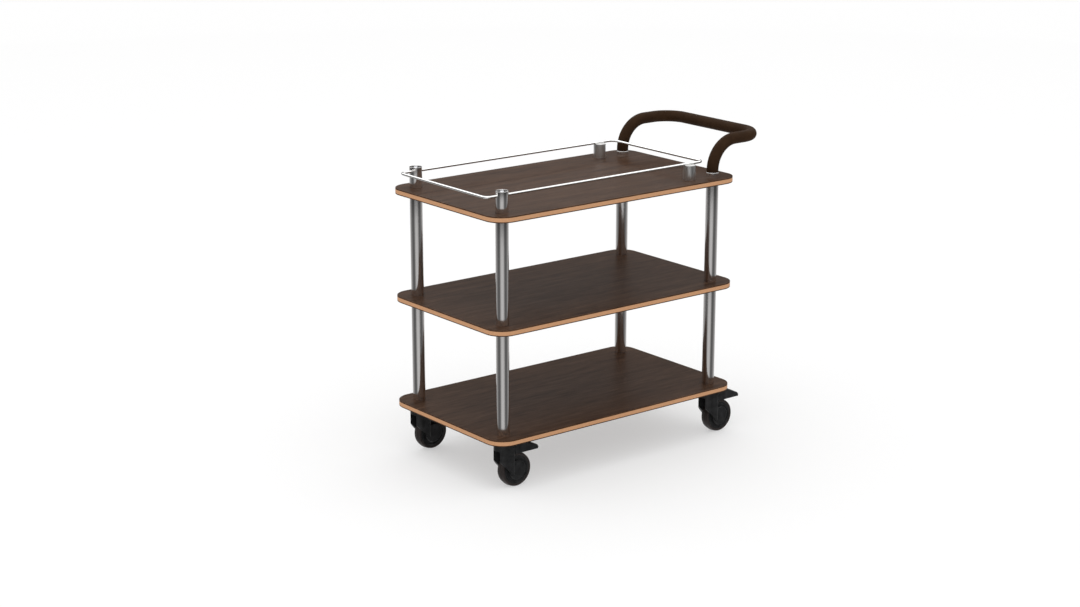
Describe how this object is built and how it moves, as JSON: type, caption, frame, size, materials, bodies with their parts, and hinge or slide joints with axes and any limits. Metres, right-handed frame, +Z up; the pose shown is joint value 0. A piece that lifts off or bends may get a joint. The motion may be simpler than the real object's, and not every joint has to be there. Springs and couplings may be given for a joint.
{
  "type": "food service trolley",
  "caption": "Tubular food service trolley with laminated ply shelves, a chrome gallery rail, a bent push handle and braked swivel castors.",
  "frame": {"origin": "on the floor under the middle of the whole box, castors and handle included", "axes": "+X towards the push handle along the length, +Y across the width towards the rear side, +Z up"},
  "size_m": [1.0744, 0.54, 0.9445],
  "materials": {
    "shelf_ply": "bare plywood edge, satin lacquer",
    "shelf_laminate": "dark wenge laminate, satin",
    "tube_chrome": "polished chrome plate",
    "rail_chrome": "polished chrome plate",
    "stub_steel": "satin turned face, polished side",
    "fastener_steel": "zinc plated",
    "insert_alloy": "plain machined",
    "cap_plastic": "matt moulded",
    "grip_brown": "dark brown soft-touch sleeve, matt",
    "castor_steel": "bright zinc plated",
    "black_oxide": "black finished steel",
    "castor_black": "satin moulded",
    "pedal_black": "satin moulded",
    "tyre_grey": "dark non-marking rubber, matt"
  },
  "bodies": {
    "frame": {"bottom_shelf_core": "shelf_ply", "bottom_shelf_lower_face": "shelf_laminate", "bottom_shelf_upper_face": "shelf_laminate", "castor_stem_front_left": "castor_steel", "castor_stem_front_right": "castor_steel", "castor_stem_rear_left": "castor_steel", "castor_stem_rear_right": "castor_steel", "gallery_post_caps": "cap_plastic", "gallery_post_front": "tube_chrome", "gallery_post_rear": "tube_chrome", "gallery_post_screws": "fastener_steel", "gallery_rail": "rail_chrome", "handle_collars": "tube_chrome", "handle_end_inserts": "insert_alloy", "handle_grip": "grip_brown", "handle_tube": "fastener_steel", "joining_studs": "fastener_steel", "lower_post_front_left": "tube_chrome", "lower_post_front_right": "tube_chrome", "lower_post_rear_left": "tube_chrome", "lower_post_rear_right": "tube_chrome", "middle_shelf_core": "shelf_ply", "middle_shelf_lower_face": "shelf_laminate", "middle_shelf_upper_face": "shelf_laminate", "rail_stub_bolts": "fastener_steel", "rail_stub_front": "stub_steel", "rail_stub_rear": "stub_steel", "top_shelf_core": "shelf_ply", "top_shelf_lower_face": "shelf_laminate", "top_shelf_upper_face": "shelf_laminate", "tube_end_inserts": "insert_alloy", "upper_post_front_left": "tube_chrome", "upper_post_front_right": "tube_chrome", "upper_post_rear_left": "tube_chrome", "upper_post_rear_right": "tube_chrome"},
    "swivel_front_left": {"castor_housing_front_left": "castor_black", "castor_axle_front_left": "black_oxide", "pedal_pin_front_left": "black_oxide"},
    "wheel_front_left": {"castor_hub_front_left": "castor_black", "castor_tyre_front_left": "tyre_grey"},
    "pedal_front_left": {"brake_pedal_front_left": "pedal_black"},
    "swivel_rear_left": {"castor_housing_rear_left": "castor_black", "castor_axle_rear_left": "black_oxide", "pedal_pin_rear_left": "black_oxide"},
    "wheel_rear_left": {"castor_hub_rear_left": "castor_black", "castor_tyre_rear_left": "tyre_grey"},
    "pedal_rear_left": {"brake_pedal_rear_left": "pedal_black"},
    "swivel_front_right": {"castor_housing_front_right": "castor_black", "castor_axle_front_right": "black_oxide", "pedal_pin_front_right": "black_oxide"},
    "wheel_front_right": {"castor_hub_front_right": "castor_black", "castor_tyre_front_right": "tyre_grey"},
    "pedal_front_right": {"brake_pedal_front_right": "pedal_black"},
    "swivel_rear_right": {"castor_housing_rear_right": "castor_black", "castor_axle_rear_right": "black_oxide", "pedal_pin_rear_right": "black_oxide"},
    "wheel_rear_right": {"castor_hub_rear_right": "castor_black", "castor_tyre_rear_right": "tyre_grey"},
    "pedal_rear_right": {"brake_pedal_rear_right": "pedal_black"}
  },
  "joints": [
    {"name": "swivel_front_left", "type": "hinge", "parent": "frame", "child": "swivel_front_left", "pos_m": [-0.47725, -0.21, 0.147], "axis": [0, 0, 1], "continuous": true},
    {"name": "wheel_spin_front_left", "type": "hinge", "parent": "swivel_front_left", "child": "wheel_front_left", "pos_m": [-0.43775, -0.21, 0.052], "axis": [0, 1, 0], "continuous": true},
    {"name": "brake_pedal_front_left", "type": "hinge", "parent": "swivel_front_left", "child": "pedal_front_left", "pos_m": [-0.45825, -0.21, 0.131], "axis": [0, 1, 0], "range_deg": [0, 8]},
    {"name": "swivel_rear_left", "type": "hinge", "parent": "frame", "child": "swivel_rear_left", "pos_m": [-0.47725, 0.21, 0.147], "axis": [0, 0, 1], "continuous": true},
    {"name": "wheel_spin_rear_left", "type": "hinge", "parent": "swivel_rear_left", "child": "wheel_rear_left", "pos_m": [-0.43775, 0.21, 0.052], "axis": [0, 1, 0], "continuous": true},
    {"name": "brake_pedal_rear_left", "type": "hinge", "parent": "swivel_rear_left", "child": "pedal_rear_left", "pos_m": [-0.45825, 0.21, 0.131], "axis": [0, 1, 0], "range_deg": [0, 8]},
    {"name": "swivel_front_right", "type": "hinge", "parent": "frame", "child": "swivel_front_right", "pos_m": [0.32275, -0.21, 0.147], "axis": [0, 0, 1], "continuous": true},
    {"name": "wheel_spin_front_right", "type": "hinge", "parent": "swivel_front_right", "child": "wheel_front_right", "pos_m": [0.36225, -0.21, 0.052], "axis": [0, 1, 0], "continuous": true},
    {"name": "brake_pedal_front_right", "type": "hinge", "parent": "swivel_front_right", "child": "pedal_front_right", "pos_m": [0.34175, -0.21, 0.131], "axis": [0, 1, 0], "range_deg": [0, 8]},
    {"name": "swivel_rear_right", "type": "hinge", "parent": "frame", "child": "swivel_rear_right", "pos_m": [0.32275, 0.21, 0.147], "axis": [0, 0, 1], "continuous": true},
    {"name": "wheel_spin_rear_right", "type": "hinge", "parent": "swivel_rear_right", "child": "wheel_rear_right", "pos_m": [0.36225, 0.21, 0.052], "axis": [0, 1, 0], "continuous": true},
    {"name": "brake_pedal_rear_right", "type": "hinge", "parent": "swivel_rear_right", "child": "pedal_rear_right", "pos_m": [0.34175, 0.21, 0.131], "axis": [0, 1, 0], "range_deg": [0, 8]}
  ]
}
